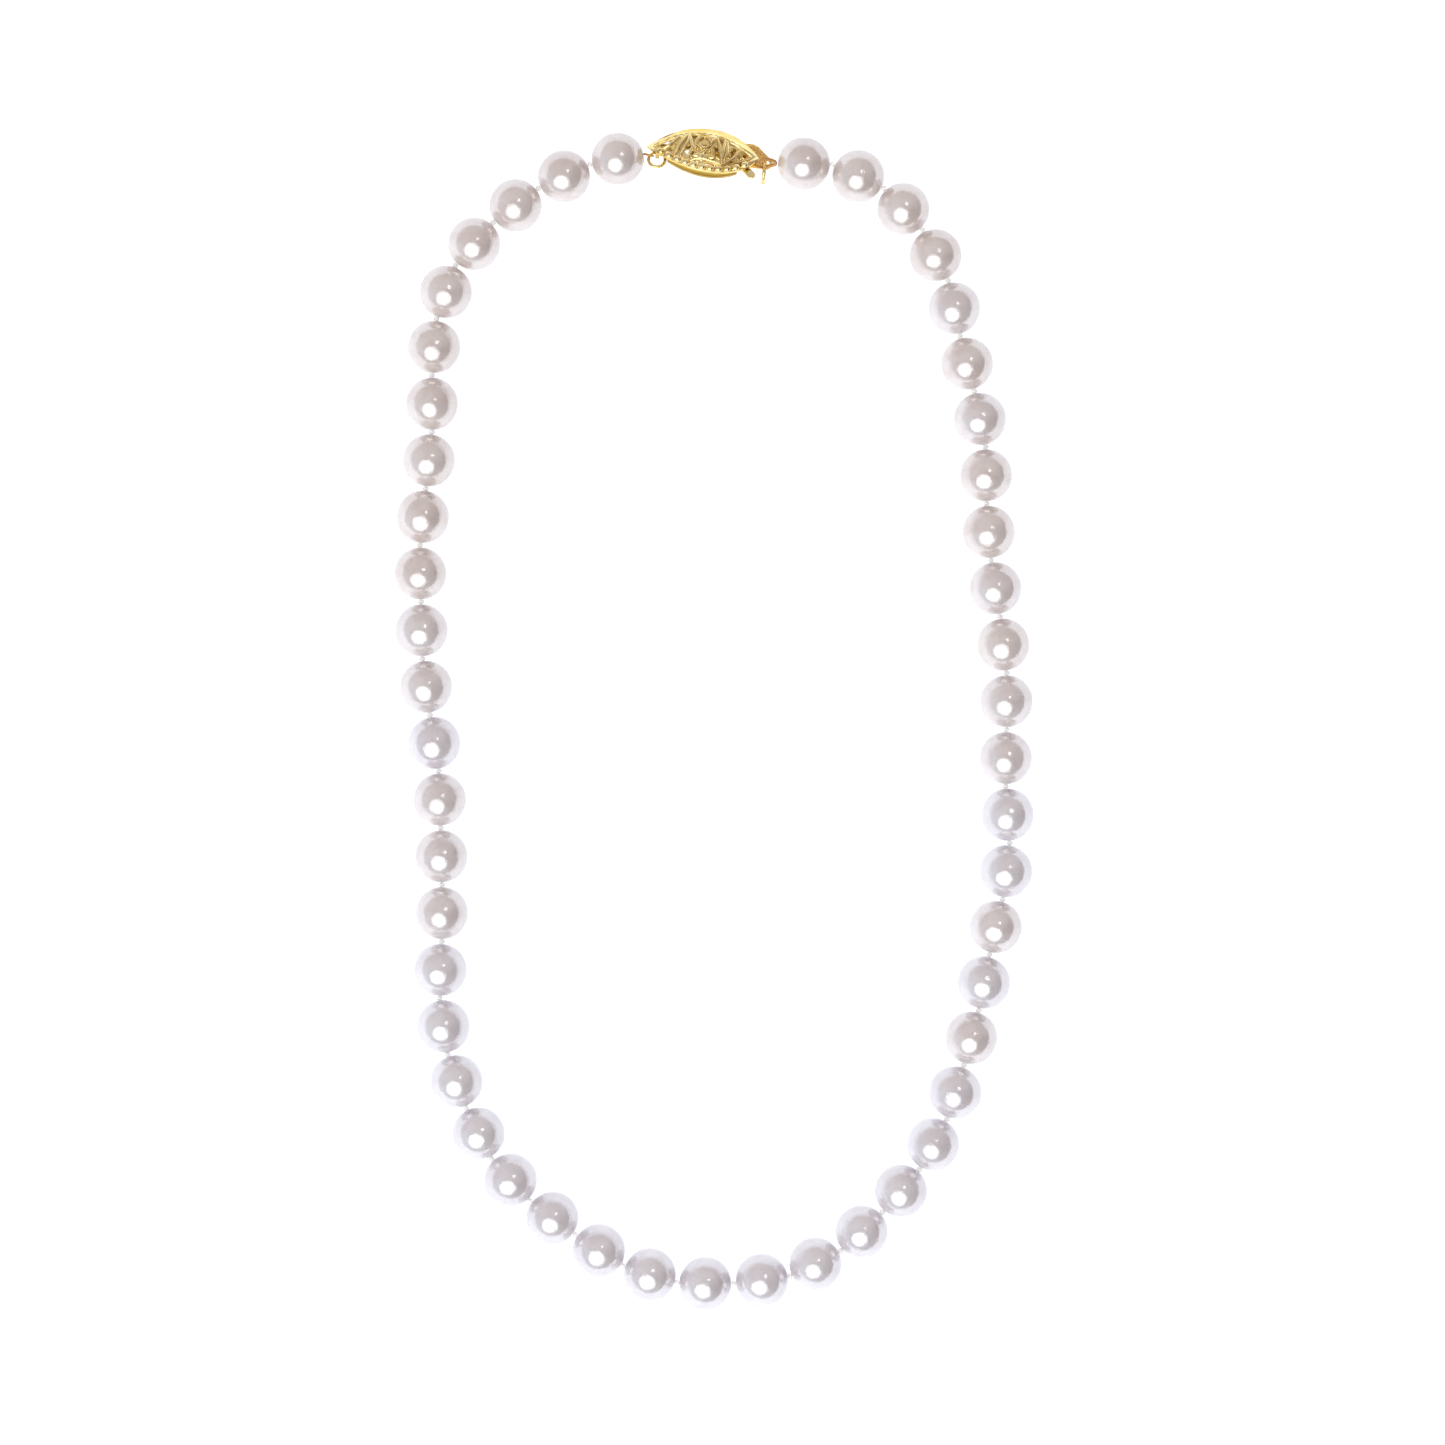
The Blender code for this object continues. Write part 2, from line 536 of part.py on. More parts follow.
def build():
    clear_scene()
    nacre = material("nacre", (0.86, 0.82, 0.84), 0.0, 0.18)
    silk = material("silk", (0.88, 0.86, 0.82), 0.0, 0.75)
    gold = material("gold", (0.88, 0.68, 0.33), 1.0, 0.25)
    french = material("french_wire_gold", (0.72, 0.44, 0.14), 1.0, 0.38)

    to_world = clasp_matrix()
    parts = []
    parts.append(make_back(gold, to_world))
    case, ring_centre = make_case(gold, to_world)
    parts += [case, make_front(gold, to_world), make_bar(gold, to_world)]
    parts.append(torus("end_ring", ring_centre, Vector((0, 0, 1)), END_RING_DIA / 2 - END_RING_WIRE / 2,
                       END_RING_WIRE, gold, to_world))
    parts.append(make_hook_plate(gold, to_world))
    spring, fold = make_hook_spring(gold, to_world)
    parts.append(spring)
    hook_radius = (HOOK_RING_DIA - HOOK_RING_WIRE) / 2
    hook_centre = Vector((EYE_AT[0], EYE_AT[1] - hook_radius, BLADE_LOW + BLADE_THICK / 2))
    parts.append(torus("hook_ring", hook_centre, Vector((1, 0, 0)), hook_radius, HOOK_RING_WIRE, gold, to_world))

    # where the two thread loops go round the rings' wires
    turn = to_world.to_3x3()
    end_radius = (END_RING_DIA - END_RING_WIRE) / 2
    left_link = to_world @ (ring_centre + end_radius * Vector((-math.cos(0.5), math.sin(0.5), 0)))
    left_tangent = turn @ Vector((math.sin(0.5), math.cos(0.5), 0))
    up = math.radians(52)
    right_link = to_world @ (hook_centre + hook_radius * Vector((0, math.cos(up), math.sin(up))))
    right_tangent = turn @ Vector((0, -math.sin(up), math.cos(up)))

    height = PEARL_DIA / 2
    rim_back = PITCH / 2 - math.sqrt(height**2 - (DRILL_DIA / 2) ** 2)
    ring_left = (to_world @ ring_centre).x - END_RING_DIA / 2
    start = Vector((ring_left - FRENCH_LEFT_DIA - 0.15 * MM + rim_back, left_link.y + 0.15 * MM, 0))
    right_reach = 1.95 * MM
    end = right_link + Vector((right_reach - rim_back, -0.1 * MM, 0))
    knots = knots_on_route((start.x, start.y), (end.x, end.y))
    for k in range(PEARL_COUNT):
        parts.append(make_pearl(k + 1, knots[k], knots[k + 1], nacre))
    parts.append(make_thread(knots, silk))
    first, last = (knots[1] - knots[0]).normalized(), (knots[-1] - knots[-2]).normalized()
    left_apex = knots[0] + first * (rim_back - 0.06 * MM)
    right_apex = knots[-1] - last * (rim_back - 0.06 * MM)
    parts.append(make_french_wire("french_wire_left", left_apex, left_link, left_tangent,
                                  END_RING_WIRE, FRENCH_LEFT_DIA, french))
    parts.append(make_french_wire("french_wire_right", right_apex, right_link, right_tangent,
                                  HOOK_RING_WIRE, FRENCH_RIGHT_DIA, french))

    # centre the loop on the origin, with what lies lowest on the table
    corners = np.array([tuple(v.co) for ob in parts for v in ob.data.vertices])
    low, high = corners.min(0), corners.max(0)
    shift = Vector((-(low[0] + high[0]) / 2, -(low[1] + high[1]) / 2, -low[2]))
    for ob in parts:
        ob.data.transform(Matrix.Translation(shift))

    def place(ob_name, point):
        ob = bpy.data.objects[ob_name]
        ob.data.transform(Matrix.Translation(-point))
        ob.location = point
        print("pivot", ob_name, [round(c, 7) for c in point])

    for name, point in (("end_ring", to_world @ ring_centre), ("hook_ring", to_world @ hook_centre),
                        ("hook_spring", to_world @ fold)):
        place(name, point + shift)
    for k in OPENING_KNOTS:
        place(f"pearl_{k + 1}", knots[k] + shift)
    print("axes u v w", [[round(c, 6) for c in turn.col[k]] for k in range(3)])
    print("clasp origin", [round(c, 7) for c in to_world.translation + shift], "shift", list(shift))
    print("size", list(high - low))


build()
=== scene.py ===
import json
import math
import random

import bmesh
import bpy
from mathutils import Matrix, Vector, noise

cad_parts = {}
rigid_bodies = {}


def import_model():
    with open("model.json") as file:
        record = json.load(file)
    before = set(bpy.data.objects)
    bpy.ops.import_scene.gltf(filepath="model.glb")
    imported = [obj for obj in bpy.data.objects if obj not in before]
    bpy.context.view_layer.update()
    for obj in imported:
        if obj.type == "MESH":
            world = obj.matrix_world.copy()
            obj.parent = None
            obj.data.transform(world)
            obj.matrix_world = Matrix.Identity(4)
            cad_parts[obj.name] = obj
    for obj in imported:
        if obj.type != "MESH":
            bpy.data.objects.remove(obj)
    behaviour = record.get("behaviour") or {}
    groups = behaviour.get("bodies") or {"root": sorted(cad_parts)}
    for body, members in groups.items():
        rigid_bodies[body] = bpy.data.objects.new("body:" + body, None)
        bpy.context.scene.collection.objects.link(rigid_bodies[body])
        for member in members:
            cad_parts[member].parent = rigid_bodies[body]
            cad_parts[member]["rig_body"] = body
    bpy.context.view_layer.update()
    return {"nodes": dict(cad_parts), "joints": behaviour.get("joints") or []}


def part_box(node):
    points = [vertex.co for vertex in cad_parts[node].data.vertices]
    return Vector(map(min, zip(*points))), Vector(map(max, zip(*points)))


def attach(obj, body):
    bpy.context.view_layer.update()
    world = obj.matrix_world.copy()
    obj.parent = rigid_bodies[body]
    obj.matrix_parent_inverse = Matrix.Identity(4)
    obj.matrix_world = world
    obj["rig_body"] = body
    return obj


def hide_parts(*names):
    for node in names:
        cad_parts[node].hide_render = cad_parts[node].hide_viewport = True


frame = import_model()
scene = bpy.context.scene
mm = 0.001
random.seed(49)
print("frame loaded")

# where the joints are, which gives the clasp's own frame and the first knots
joints = {joint["name"]: joint for joint in frame["joints"]}


def pivot(name):
    return Vector(joints[name]["pos_m"])


def axisOf(name):
    return Vector(joints[name]["axis"]).normalized()


claspLayout = {
    "half": 8.85, "halfWidth": 4.0, "bulge": 11.7903, "lean": 1.2, "taper": 0.7, "flange": 0.45, "wall": 0.4,
    "rimEnd": 2.2, "rimArch": 1.4, "dome": 0.8, "frontThick": 0.45, "seam": 0.05,
    "closedEnd": -5.5, "mouth": 5.6, "backThick": 0.45, "backRim": 0.5, "backBar": 0.7,
    "endRing": (-7.1, -1.5, 1.5), "hookRing": (9.85, -1.35, 1.15),
}  # millimetres, u along the clasp, v across it, w out of its front

alongClasp = axisOf("hook_ring_turn")
outOfClasp = axisOf("end_ring_turn")
acrossClasp = outOfClasp.cross(alongClasp).normalized()
turnClasp = Matrix((alongClasp, acrossClasp, outOfClasp)).transposed()
claspMiddle = pivot("end_ring_turn") - turnClasp @ (Vector(claspLayout["endRing"]) * mm)
placeClasp = Matrix.Translation(claspMiddle) @ turnClasp.to_4x4() @ Matrix.Scale(mm, 4)


studio = {
    "cameraHeight": 800.0, "frameWidth": 226.38, "fromClasp": (3.167, -88.229),
    "floorRadius": 2.2, "floorRise": 0.288,  # metres
    # lean from straight up and turn round it in degrees, distance and size in metres, strength, soft edge's start
    "softbox": (34, 251, 1.6, 2.65, 2.7, 0.45), "window": (25, 50, 1.5, 0.26, 4.0, 0.9),
    "cardLight": (0.97, 0.99, 1, 1), "floorLight": (1.0, 1.04, 1.11, 1), "floorBase": (0.3, 0.3, 0.3, 1),
    "leftRoom": (0.53, 0.58, 0.67), "rightRoom": (0.115, 0.077, 0.067), "topRoom": (0.60, 0.54, 0.53),
    "toRight": (0.91, 0.0, 0.42), "toTop": (-0.1, 0.87, 0.48),
}


def addCamera():
    height = studio["cameraHeight"] * mm
    x, y = studio["fromClasp"]
    place = (claspMiddle.x + x * mm, claspMiddle.y + y * mm, height + 4.15 * mm)
    bpy.ops.object.camera_add(location=place, rotation=(0, 0, 0))
    camera = bpy.context.object
    camera.name = "overheadCamera"
    camera.data.sensor_width = 36
    camera.data.lens = 36 * studio["cameraHeight"] / studio["frameWidth"]
    camera.data.clip_start, camera.data.clip_end = 0.02, 20
    scene.camera = camera


class Signal:  # a node's output; sums on it add Math nodes to its material
    def __init__(self, kit, socket):
        self.kit, self.socket = kit, socket

    def maths(self, operation, *values):
        return self.kit.node("ShaderNodeMath", {"operation": operation}, *values)

    def __add__(self, other):
        return self.maths("ADD", self, other)

    def __mul__(self, other):
        return self.maths("MULTIPLY", self, other)

    def __rsub__(self, other):
        return self.maths("SUBTRACT", other, self)

    __radd__, __rmul__ = __add__, __mul__

    def ramp(self, low, high):  # 0 below low, 1 above high, smooth between
        settings = {"interpolation_type": "SMOOTHSTEP"}
        return self.kit.node("ShaderNodeMapRange", settings, self, low, high)


class Kit:  # the nodes of one material or world
    def __init__(self, owner):
        owner.use_nodes = True
        self.owner, self.tree = owner, owner.node_tree
        self.tree.nodes.clear()

    def put(self, socket, value):
        if isinstance(value, Signal):
            self.tree.links.new(value.socket, socket)
        elif value is not None:
            socket.default_value = value

    def node(self, kind, settings=None, *values, out=0, **named):
        made = self.tree.nodes.new(kind)
        for key, value in (settings or {}).items():
            setattr(made, key, value)
        for socket, value in zip(made.inputs, values):
            self.put(socket, value)
        for key, value in named.items():
            self.put(made.inputs[key.replace("_", " ")], value)
        return Signal(self, made.outputs[out])

    def mix(self, share, one, two):  # two colours
        made = self.node("ShaderNodeMix", {"data_type": "RGBA"}, out=2)
        node = made.socket.node
        self.put(node.inputs[0], share)
        self.put(node.inputs[6], one if isinstance(one, Signal) else (*one, 1))
        self.put(node.inputs[7], two if isinstance(two, Signal) else (*two, 1))
        return made

    def noise(self, scale, detail=2.0, rough=0.5):
        return self.node("ShaderNodeTexNoise", None, Vector=self.place, Scale=scale, Detail=detail, Roughness=rough)

    @property
    def place(self):
        return self.node("ShaderNodeTexCoord", out="Object")

    def bump(self, height, strength, distance, under=None):
        return self.node("ShaderNodeBump", None, Height=height, Strength=strength, Distance=distance, Normal=under)

    def surface(self, **sockets):
        shader = self.node("ShaderNodeBsdfPrincipled", None, **sockets)
        end = self.tree.nodes.new("ShaderNodeOutputMaterial")
        self.tree.links.new(shader.socket, end.inputs["Surface"])
        return self.owner


def newMaterial(name):
    return Kit(bpy.data.materials.new(name))


def addStudio():
    # a glowing table top, whose edge rises a little all round
    radius, rise = studio["floorRadius"], studio["floorRise"]
    bpy.ops.mesh.primitive_circle_add(vertices=96, radius=radius * 0.8, fill_type="NGON", location=(0, 0, 0))
    floor = bpy.context.object
    floor.name = "tableTop"
    bpy.ops.object.mode_set(mode="EDIT")
    bpy.ops.mesh.select_all(action="SELECT")
    bpy.ops.mesh.extrude_region_move(TRANSFORM_OT_translate={"value": (0, 0, rise)})
    bpy.ops.transform.resize(value=(1.25, 1.25, 1))
    bpy.ops.mesh.delete(type="ONLY_FACE")
    bpy.ops.object.mode_set(mode="OBJECT")
    rim = bmesh.new()
    rim.from_mesh(floor.data)
    low = [edge for edge in rim.edges if all(vert.co.z < rise / 2 for vert in edge.verts)]
    bmesh.ops.contextual_create(rim, geom=low)
    bmesh.ops.recalc_face_normals(rim, faces=rim.faces)
    rim.to_mesh(floor.data)
    rim.free()
    kit = newMaterial("tableGlow")
    kit.surface(Base_Color=studio["floorBase"], Roughness=0.9, Specular_IOR_Level=0.0,
                Emission_Color=studio["floorLight"], Emission_Strength=1.0)
    floor.data.materials.append(kit.owner)

    # a round softbox, brightest in its middle, and a small window
    for name in ("softbox", "window"):
        lean, turn, distance, size, strength, soft = studio[name]
        bpy.ops.mesh.primitive_circle_add(vertices=48, radius=size / 2, fill_type="NGON")
        card = bpy.context.object
        card.name = name
        away = Vector((math.cos(math.radians(turn)) * math.sin(math.radians(lean)),
                       math.sin(math.radians(turn)) * math.sin(math.radians(lean)),
                       math.cos(math.radians(lean))))
        card.location = away * distance
        card.rotation_mode = "QUATERNION"
        card.rotation_quaternion = away.to_track_quat("Z", "Y")
        kit = newMaterial(name + "Glow")
        out = kit.node("ShaderNodeVectorMath", {"operation": "LENGTH"}, kit.place, out="Value")
        fall = 1 - (out * (2 / size)).ramp(soft, 1.0)
        kit.surface(Base_Color=(0, 0, 0, 1), Emission_Color=studio["cardLight"], Emission_Strength=fall * strength)
        card.data.materials.append(kit.owner)
        card.visible_camera = False

    world = bpy.data.worlds.new("darkRoom")
    scene.world = world
    kit = Kit(world)
    way = kit.node("ShaderNodeTexCoord", out="Generated")
    toRight = kit.node("ShaderNodeVectorMath", {"operation": "DOT_PRODUCT"}, way, studio["toRight"], out="Value")
    toTop = kit.node("ShaderNodeVectorMath", {"operation": "DOT_PRODUCT"}, way, studio["toTop"], out="Value")
    sides = kit.mix(toRight.ramp(-0.9, 1.15), studio["leftRoom"], studio["rightRoom"])
    colour = kit.mix(toTop.ramp(-0.1, 1.0), sides, studio["topRoom"])
    glow = kit.node("ShaderNodeBackground", None, colour, 1.0)
    end = kit.tree.nodes.new("ShaderNodeOutputWorld")
    kit.tree.links.new(glow.socket, end.inputs["Surface"])
    scene.view_settings.view_transform = "Standard"


addCamera()
addStudio()
print("camera, table and lights placed")


def alone(piece):
    bpy.ops.object.select_all(action="DESELECT")
    piece.select_set(True)
    bpy.context.view_layer.objects.active = piece
    return piece


def finishPiece(piece, name, body, material, replaced=(), place=None, angle=40):
    alone(piece)
    piece.name = piece.data.name = name
    if place is not None:
        piece.data.transform(place)
    piece.data.materials.clear()
    piece.data.materials.append(material)
    bpy.ops.object.shade_smooth_by_angle(angle=math.radians(angle))
    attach(piece, body)
    if replaced:
        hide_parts(*replaced)
    return piece


def applyTransform(piece):
    alone(piece)
    bpy.ops.object.transform_apply(location=True, rotation=True, scale=True)
    return piece


def modify(piece, kind, **settings):
    alone(piece)
    modifier = piece.modifiers.new(kind.lower(), kind)
    for key, value in settings.items():
        setattr(modifier, key, value)
    bpy.ops.object.modifier_apply(modifier=modifier.name)
    return piece


def combine(piece, other, operation):
    modify(piece, "BOOLEAN", operation=operation, solver="EXACT", object=other)
    bpy.data.objects.remove(other, do_unlink=True)
    return piece


def joined(pieces):
    bpy.ops.object.select_all(action="DESELECT")
    for piece in pieces:
        piece.select_set(True)
    bpy.context.view_layer.objects.active = pieces[0]
    bpy.ops.object.join()
    return bpy.context.object


def softened(piece, width, segments=2, angle=35):
    return modify(piece, "BEVEL", width=width, segments=segments, limit_method="ANGLE",
                  angle_limit=math.radians(angle), harden_normals=False)


def lift(piece, height):
    for vert in piece.data.vertices:
        vert.co.z += height(vert.co.x, vert.co.y)
    return piece


def plate(outline, low, high):
    # a flat outline of (u, v) raised into a solid
    bpy.ops.mesh.primitive_circle_add(vertices=len(outline), radius=1, fill_type="NGON")
    piece = bpy.context.object
    for vert, (u, v) in zip(piece.data.vertices, outline):
        vert.co = (u, v, low)
    bpy.ops.object.mode_set(mode="EDIT")
    bpy.ops.mesh.select_all(action="SELECT")
    bpy.ops.mesh.extrude_region_move(TRANSFORM_OT_translate={"value": (0, 0, high - low)})
    bpy.ops.mesh.select_all(action="SELECT")
    bpy.ops.mesh.normals_make_consistent(inside=False)
    bpy.ops.object.mode_set(mode="OBJECT")
    return piece


def lens(half, up, down, low, high, shift=0.0, steps=72):
    # a pointed oval: an arc over its top and another under it
    def arc(rise, u):
        radius = (half**2 + rise**2) / (2 * rise)
        return math.sqrt(radius**2 - u * u) - (radius - rise)
    us = [-half * math.cos(math.pi * k / steps) for k in range(steps + 1)]
    outline = [(u, shift - arc(down, u)) for u in us] + [(u, shift + arc(up, u)) for u in us[-2:0:-1]]
    return plate(outline, low, high)


def smoothLine(points, steps=8, closed=False):
    # a rounded line through points of two or three numbers
    points = [Vector(p) for p in points]
    if closed:
        points = [points[-1]] + points + points[:2]
    else:
        points = [2 * points[0] - points[1]] + points + [2 * points[-1] - points[-2]]
    line = []
    for a, b, c, d in zip(points, points[1:], points[2:], points[3:]):
        for k in range(steps):
            t = k / steps
            line.append(0.5 * (2 * b + (c - a) * t + (2 * a - 5 * b + 4 * c - d) * t**2
                               + (3 * b - a - 3 * c + d) * t**3))
    if not closed:
        line.append(points[-2])
    return line


def wires(lines, radius, closed=False, sides=2):
    # round wire along each line; a line may carry its own radius for each point
    curve = bpy.data.curves.new("wire", "CURVE")
    curve.dimensions = "3D"
    curve.bevel_depth, curve.bevel_resolution = radius, sides
    curve.use_fill_caps = not closed
    for line in lines:
        spline = curve.splines.new("POLY")
        spline.points.add(len(line) - 1)
        for point, place in zip(spline.points, line):
            point.co = (*place[:3], 1)
            point.radius = place[3] if len(place) > 3 else 1
        spline.use_cyclic_u = closed
    piece = bpy.data.objects.new("wire", curve)
    scene.collection.objects.link(piece)
    alone(piece)
    bpy.ops.object.convert(target="MESH")
    return bpy.context.object


def nacreFinish(name, base, deep):
    kit = newMaterial(name)
    patches = kit.noise(330, 3)
    rings = kit.noise(900, 4, 0.6)
    pits = kit.node("ShaderNodeTexVoronoi", {"feature": "F1"}, Vector=kit.place, Scale=1150.0)
    pitDentAndShade = 1 - pits.ramp(0.05, 0.32)
    rose = kit.mix(patches.ramp(0.42, 0.62), base, deep)
    # the pits are painted darker towards brown: painted shade in the dents, besides their bump
    colour = kit.mix(pitDentAndShade * 0.15, rose, (0.50, 0.40, 0.36))
    skin = kit.bump(rings, 0.12, 0.0004)
    surface = kit.bump(pitDentAndShade, 0.16, -0.00006, skin)
    return kit.surface(Base_Color=colour, Metallic=0.28, Roughness=0.10 + 0.10 * rings, Normal=surface,
                       IOR=2.4, Specular_Tint=(0.76, 0.80, 0.85, 1), Coat_Weight=0.1, Coat_Roughness=0.05,
                       Coat_IOR=1.5)


def goldFinish(name, colour, worn, roughness, grain=2600.0, depth=0.15):
    kit = newMaterial(name)
    fine = kit.noise(grain, 3, 0.6)
    broad = kit.noise(420, 2)
    tone = kit.mix(broad.ramp(0.35, 0.65), colour, worn)
    skin = kit.bump(fine, depth, 0.00005)
    return kit.surface(Base_Color=tone, Metallic=1.0, Roughness=roughness + 0.08 * fine, Normal=skin,
                       Specular_Tint=(*worn, 1))  # keeps its yellow at a slant


def silkFinish():
    kit = newMaterial("whiteSilkPaintedGlow")
    fibres = kit.noise(9000, 3, 0.7)
    colour = kit.mix(fibres.ramp(0.35, 0.7), (0.74, 0.72, 0.70), (0.95, 0.94, 0.93))
    # the faint white emission is a painted glow that lightens the thread, which is no lamp
    return kit.surface(Base_Color=colour, Roughness=0.7, Normal=kit.bump(fibres, 0.4, 0.00003),
                       Sheen_Weight=0.3, Emission_Color=(1, 1, 1, 1), Emission_Strength=0.25)


nacre = {
    "warm": nacreFinish("nacreWarm", (0.80, 0.725, 0.69), (0.745, 0.65, 0.61)),
    "rose": nacreFinish("nacreRose", (0.80, 0.74, 0.725), (0.75, 0.675, 0.66)),
    "cool": nacreFinish("nacreCool", (0.805, 0.765, 0.785), (0.755, 0.705, 0.73)),
}
polishedGold = goldFinish("polishedGold", (0.96, 0.80, 0.42), (0.88, 0.70, 0.32), 0.13)
stampedGold = goldFinish("stampedGold", (0.97, 0.82, 0.44), (0.83, 0.65, 0.28), 0.15, 1500.0, 0.45)
# a darker copy of the gold for the case wall and back: painted shade
shadedWallGold = goldFinish("shadedWallGold", (0.66, 0.49, 0.20), (0.56, 0.41, 0.17), 0.26)
oldGold = goldFinish("oldGold", (0.93, 0.66, 0.26), (0.80, 0.52, 0.17), 0.20, 1900.0, 0.5)
coilGold = goldFinish("coilGold", (0.86, 0.58, 0.26), (0.72, 0.45, 0.17), 0.25)
whiteSilkPaintedGlow = silkFinish()
print("finishes mixed")


pearlShape = {
    "radius": 4.15, "segments": 64, "rings": 40, "hole": 0.45, "rim": 0.06, "unevenness": 0.018,
    "acrossLeast": 0.985, "acrossMost": 0.999, "alongLeast": 0.99,  # how far from round
}


def pearlCentre(number):
    low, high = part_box(f"pearl_{number:02d}")
    return (low + high) / 2


def bodyOfPearl(number):
    return frame["nodes"][f"pearl_{number:02d}"]["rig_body"]


centres = {number: pearlCentre(number) for number in range(1, 50)}
knots = {20: pivot("open_at_knot_20")}
for number in range(20, 0, -1):
    knots[number - 1] = 2 * centres[number] - knots[number]
for number in range(21, 50):
    knots[number] = 2 * centres[number] - knots[number - 1]


def drilledPearl():
    shape = pearlShape
    bpy.ops.mesh.primitive_uv_sphere_add(segments=shape["segments"], ring_count=shape["rings"],
                                         radius=shape["radius"], location=(0, 0, 0))
    pearl = bpy.context.object
    data = pearl.data
    near = shape["radius"] * math.sin(1.5 * math.pi / shape["rings"])
    bpy.ops.object.mode_set(mode="EDIT")
    bpy.ops.mesh.select_mode(type="VERT")
    bpy.ops.mesh.select_all(action="DESELECT")
    bpy.ops.object.mode_set(mode="OBJECT")
    for vert in data.vertices:
        vert.select = math.hypot(vert.co.x, vert.co.y) < near
    bpy.ops.object.mode_set(mode="EDIT")
    bpy.ops.mesh.delete(type="VERT")
    bpy.ops.mesh.select_all(action="DESELECT")
    bpy.ops.mesh.select_non_manifold()
    bpy.ops.mesh.bridge_edge_loops(number_cuts=3, interpolation="LINEAR")
    bpy.ops.object.mode_set(mode="OBJECT")
    tunnel = [vert for vert in data.vertices if vert.co.length < shape["radius"] - 0.001]
    for vert in tunnel:  # the three cuts become the hole: a rounded lip at each end and a waist
        out = Vector((vert.co.x, vert.co.y)).normalized() * shape["hole"]
        end = shape["radius"] - shape["rim"] - 0.06
        vert.co = (out.x, out.y, math.copysign(end, vert.co.z) if abs(vert.co.z) > 0.5 else 0)
    alone(pearl)
    bpy.ops.object.mode_set(mode="EDIT")
    bpy.ops.mesh.select_all(action="SELECT")
    bpy.ops.mesh.normals_make_consistent(inside=False)
    bpy.ops.object.mode_set(mode="OBJECT")
    return pearl


def shadeOfPearl(number):
    # warmer and browner near the clasp, cooler at the bottom of the strand
    share = (centres[number].y / 0.09 + 1) / 2 + random.uniform(-0.22, 0.22)
    return "warm" if share > 0.66 else "rose" if share > 0.33 else "cool"


def makePearls():
    pattern = drilledPearl()
    for number in range(1, 50):
        along = (knots[number] - knots[number - 1]).normalized()
        turn = along.to_track_quat("Z", "Y").to_matrix() @ Matrix.Rotation(random.uniform(0, math.tau), 3, "Z")
        least, most = pearlShape["acrossLeast"], pearlShape["acrossMost"]
        stretch = Matrix.Diagonal((random.uniform(least, most), random.uniform(least, most),
                                   random.uniform(pearlShape["alongLeast"], 1.0)))
        pearl = pattern.copy()
        pearl.data = pattern.data.copy()
        scene.collection.objects.link(pearl)
        offset = Vector((number * 3.1, 0, 0))
        for vert in pearl.data.vertices:
            point = stretch @ vert.co
            if point.length > pearlShape["radius"] * 0.95:
                bulge = noise.noise(vert.co * 0.42 + offset) * pearlShape["unevenness"] * 1.6
                point += point.normalized() * (bulge - pearlShape["unevenness"] * 0.8)
            vert.co = turn @ point * mm + centres[number]
        node = f"pearl_{number:02d}"
        finishPiece(pearl, f"nacrePearl_{number:02d}", bodyOfPearl(number),
                    nacre[shadeOfPearl(number)], [node], angle=60)
    bpy.data.objects.remove(pattern, do_unlink=True)


makePearls()
print("49 pearls strung")


silk = {
    "strand": 0.10, "ply": 0.11, "lay": 1.1, "back": 1.6,  # one ply's radius and its twist round the others
    "knotRadius": 0.36, "turns": 2.5, "knotWidth": 0.2, "knotWire": 0.17,
}


def twistedRun(start, end):
    # three plies laid round each other
    along = end - start
    length = along.length
    turn = along.to_track_quat("Z", "Y").to_matrix()
    steps = max(4, int(length / (0.16 * mm)))
    lines = []
    for ply in range(3):
        line = []
        for k in range(steps + 1):
            t = k / steps
            angle = math.tau * (ply / 3 + t * length / (silk["lay"] * mm))
            side = Vector((math.cos(angle), math.sin(angle), 0)) * silk["ply"] * mm
            line.append(start + along * t + turn @ side)
        lines.append(line)
    return lines


def knotLine(number):
    # one overhand knot pulled tight between two pearls
    at = knots[number]
    before, after = centres.get(number), centres.get(number + 1)
    along = (after - before).normalized()
    turn = along.to_track_quat("Z", "Y").to_matrix()
    line, steps = [], 34
    spin = random.uniform(0, math.tau)
    for k in range(steps + 1):
        t = k / steps
        angle = spin + math.tau * silk["turns"] * t
        wide = silk["knotRadius"] * (0.55 + 0.45 * math.sin(math.pi * t) ** 0.5)
        away = (t - 0.5) * 2 * silk["knotWidth"] * math.cos(math.pi * (t - 0.5) * 0.6)
        rise = 0.05 * math.sin(2 * angle)
        line.append(at + turn @ Vector((math.cos(angle) * wide, math.sin(angle) * wide, away + rise)) * mm)
    return line


def makeSilk():
    runs = {}
    for number in range(1, 50):
        start, end = knots[number - 1], knots[number]
        along = (end - start).normalized()
        if number == 1:
            start = start + along * silk["back"] * mm
        if number == 49:
            end = end - along * silk["back"] * mm
        runs.setdefault(bodyOfPearl(number), []).append((number, start, end))
    for body, parts in runs.items():
        thread = wires([line for _, start, end in parts for line in twistedRun(start, end)],
                       silk["strand"] * mm, sides=0)
        ties = [knotLine(number) for number, _, _ in parts if number < 49]
        pieces = [thread]
        if ties:
            pieces.append(wires(ties, silk["knotWire"] * mm, sides=1))
        finishPiece(joined(pieces), f"silkThread_{body}", body, whiteSilkPaintedGlow, ["silk_thread"], angle=80)


makeSilk()
print("silk knotted")


def arcHalf(u, inset=0.0):
    layout = claspLayout
    radius = layout["bulge"]
    u -= layout["lean"] * (1 - (u / layout["half"]) ** 2)  # widest a little towards the hook
    return math.sqrt(max((radius - inset) ** 2 - u * u, 0)) - (radius - layout["halfWidth"])


def rimHeight(u):
    return claspLayout["rimEnd"] + claspLayout["rimArch"] * (1 - (u / claspLayout["half"]) ** 2)


def frontTop(u, v):
    layout = claspLayout
    share = max(1 - (u / layout["half"]) ** 2, 0)
    crown = layout["dome"] * max(share - (v / layout["halfWidth"]) ** 2, 0)
    return rimHeight(u) + layout["seam"] + layout["frontThick"] + crown


